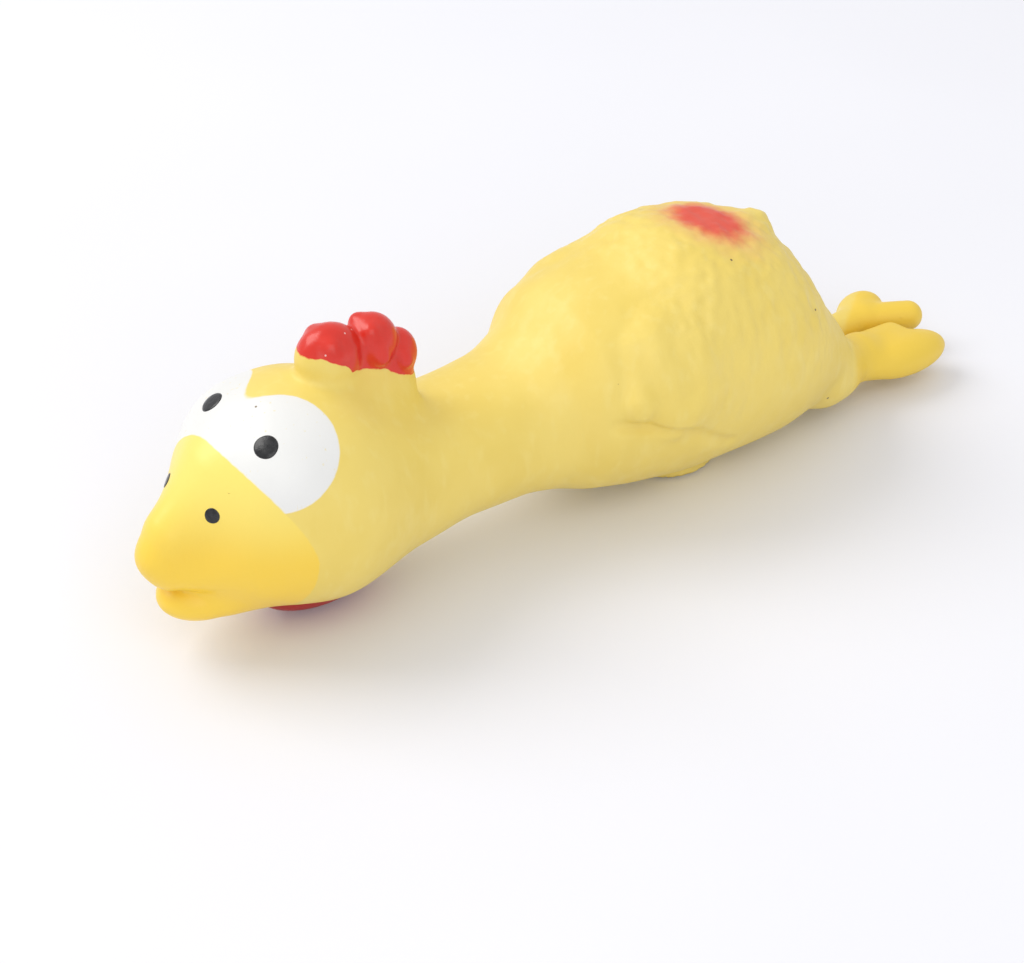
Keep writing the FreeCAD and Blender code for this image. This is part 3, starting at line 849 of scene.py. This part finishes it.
def moulded_plastic(name, light, dark, roughness, see_through=0.0):
    """Injection-moulded plastic with faint flow marks and a fine spark-eroded grain."""
    material, graph, shader = new_material(name)
    place = graph.add("ShaderNodeTexCoord").outputs["Object"]
    flow = graph.noise(place, 4 * MM, detail=3)
    graph.feed(shader.inputs["Base Color"], graph.mix(graph.ramp(flow, 0.35, 0.65), light, dark))
    graph.feed(shader.inputs["Roughness"], graph.ramp(graph.noise(place, 1.2 * MM, detail=3), 0.3, 0.7,
                                                      roughness - 0.06, roughness + 0.06))
    bump = graph.add("ShaderNodeBump", {"Height": graph.noise(place, 0.25 * MM, detail=2),
                                        "Distance": 0.02 * MM})
    graph.feed(shader.inputs["Normal"], bump.outputs[0])
    shader.inputs["Transmission Weight"].default_value = see_through
    return material


def dress(piece, material):
    piece.data.materials.clear()
    piece.data.materials.append(material)


# ---------------------------------------------------------------- the bodies that skin pieces ride on, and each vertex's share between two

def near_flank(p, side):
    """1 where a finger presses the flank, falling to 0 before the piece's edges."""
    place = node_centre(side + "_flank")
    reach = np.hypot((p[:, 0] - place[0]) / 25.0, (p[:, 2] - place[2]) / 19.0)
    outward = fade(np.abs(p[:, 1]), 3.0, 13.0)
    return (1 - fade(reach, 0.25, 1.0)) * outward


def along_leg(p, side):
    """0 on the rump, 1 on the foot, and 0 in the crotch between the legs."""
    return fade(p[:, 0], LEG_START, LEG_END) * fade(np.abs(p[:, 1]), 1.0, 3.5)


def along_front_neck(p, side):
    """0 on the head and its crest, 1 on the neck."""
    low_down = 1 - fade(p[:, 2], 35.5, 39.0)
    return fade(p[:, 0], HEAD_END, NECK_MIDDLE) * low_down


def along_rear_neck(p, side):
    return fade(p[:, 0], NECK_END, NECK_MIDDLE)


BENDING = {
    "left_torso": ("torso", "left_flank", near_flank),
    "right_torso": ("torso", "right_flank", near_flank),
    "left_ankle": ("torso", "left_foot", along_leg),
    "right_ankle": ("torso", "right_foot", along_leg),
    "neck_front": ("head", "neck", along_front_neck),
    "neck_rear": ("torso", "neck", along_rear_neck),
}
RIDING = {"left_foot": "left_foot", "right_foot": "right_foot"}


def bend(piece, still, moving, share_of):
    """Bakes the piece's place into its mesh and works out each vertex's share between two bodies."""
    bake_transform(piece)
    rest = np.empty(len(piece.data.vertices) * 3, np.float32)
    piece.data.attributes["rest_mm"].data.foreach_get("vector", rest)
    share = share_of(rest.reshape(-1, 3), piece.name.split("_")[0])


REPLACED = {"head": ["head_skin"], "neck_front": ["neck_skin"],
            "left_torso": ["torso_skin", "left_flank"], "right_torso": ["right_flank"]}
SLOTS = {"comb": "comb_red", "wattle": "wattle_red", "eye_white": "paint_white",
         "upper_beak": "beak_yellow", "lower_beak": "beak_yellow",
         "left_foot": "foot_yellow", "right_foot": "foot_yellow"}
SKIN_SPECULAR, SKIN_BUMP_MM = 0.5, 0.05


def make_skin_pieces():
    mesh = make_skin_mesh()
    names = name_faces(mesh)
    group = painted_latex_group()
    slots = {SLOTS.get(name, "latex_yellow") for name in names}
    materials = {slot: painted_latex(slot, group, SKIN_SPECULAR, SKIN_BUMP_MM) for slot in sorted(slots)}
    for name in sorted(set(names)):
        piece = make_shell(name + "_rubber", mesh, names == name)
        slot = SLOTS.get(name, "latex_yellow")
        dress(piece, materials[slot])
        if name in BENDING:
            bend(piece, *BENDING[name])
        else:
            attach(piece, RIDING.get(name, "head"))
        own_node = [name] if name in frame["nodes"] else []
        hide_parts(*REPLACED.get(name, own_node))


# the place, radius and thickness of each dot of paint, which a hand has set a little unevenly
DOTS = {
    "left_pupil": ((20.8, -8.6, 41.4), 2.05, 0.20),
    "right_pupil": ((20.0, 7.2, 41.6), 2.05, 0.20),
    "left_nostril": ((11.2, -7.0, 31.0), 1.30, 0.14),
    "right_nostril": ((11.4, 3.3, 30.6), 1.30, 0.14),
}


def make_face_dots():
    material = black_paint()
    for node, (place, radius, thickness) in DOTS.items():
        points, faces = make_paint_dot(place, radius, thickness)
        piece = make_piece(node + "_paint", points, faces, points)
        dress(piece, material)
        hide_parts(node)
        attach(piece, "head")


def dress_squeaker():
    white = moulded_plastic("squeaker_white", HOUSING_LIGHT, HOUSING_DARK, 0.38)
    film = moulded_plastic("reed_film", FILM_LIGHT, FILM_DARK, 0.25, see_through=0.3)
    for name in ("squeaker_housing", "squeaker_reed_block", "squeaker_reed_clamp"):
        dress(frame["nodes"][name], white)
    dress(frame["nodes"]["squeaker_reed"], film)


# ---------------------------------------------------------------- the studio

def place_row(station, side, height):
    return Vector(to_frame(np.array([station, side, height], float)))


CAMERA_AZIMUTH, CAMERA_ELEVATION = math.radians(-35), math.radians(36)
CAMERA_TARGET = (78.2, 5.24, 2.52)
CAMERA_DISTANCE = 0.5
CAMERA_LENS = 97.62
# each lamp's place, size, power and colour
LAMPS = {
    "key": ((-0.45, 0.55, 0.80), 0.70, 5.5, (1.0, 0.98, 0.95)),
    "fill": ((-0.30, -0.70, 0.60), 0.90, 2.6, (1.0, 1.0, 1.0)),
}
SKY_COLOUR, SKY_STRENGTH = rgb(0.97, 0.98, 1.0), 0.76
FLOOR_SIZE = 8


def make_camera():
    back = Vector((math.sin(CAMERA_AZIMUTH) * math.cos(CAMERA_ELEVATION),
                   -math.cos(CAMERA_AZIMUTH) * math.cos(CAMERA_ELEVATION), math.sin(CAMERA_ELEVATION)))
    camera = bpy.data.objects.new("camera", bpy.data.cameras.new("camera"))
    camera.data.sensor_width = 36
    camera.data.lens = CAMERA_LENS
    camera.data.clip_start = 0.01
    camera.location = place_row(*CAMERA_TARGET) + back * CAMERA_DISTANCE
    camera.rotation_mode = "QUATERNION"
    camera.rotation_quaternion = back.to_track_quat("Z", "Y")
    bpy.context.scene.collection.objects.link(camera)
    bpy.context.scene.camera = camera


def make_light(name, place, size, power, colour):
    light = bpy.data.lights.new(name, "AREA")
    light.size, light.energy, light.color = size, power, colour
    lamp = bpy.data.objects.new(name, light)
    lamp.location = place
    lamp.rotation_mode = "QUATERNION"
    lamp.rotation_quaternion = Vector(place).to_track_quat("Z", "Y")
    bpy.context.scene.collection.objects.link(lamp)


def make_studio():
    bpy.ops.mesh.primitive_plane_add(size=FLOOR_SIZE)
    floor = bpy.context.object
    floor.name = "floor"
    material, graph, shader = new_material("paper")
    place = graph.add("ShaderNodeTexCoord").outputs["Object"]
    grain = graph.ramp(graph.noise(place, 0.12), 0.3, 0.7)
    graph.feed(shader.inputs["Base Color"], graph.mix(grain, PAPER_DARK, PAPER_LIGHT))
    shader.inputs["Roughness"].default_value = 0.9
    dress(floor, material)

    for name, settings in LAMPS.items():
        make_light(name, *settings)
    world = bpy.data.worlds.new("world")
    bpy.context.scene.world = world
    world.use_nodes = True
    background = world.node_tree.nodes["Background"]
    background.inputs["Color"].default_value = SKY_COLOUR
    background.inputs["Strength"].default_value = SKY_STRENGTH
    bpy.context.scene.view_settings.view_transform = "Standard"


make_camera()
make_studio()
make_skin_pieces()
make_face_dots()
dress_squeaker()
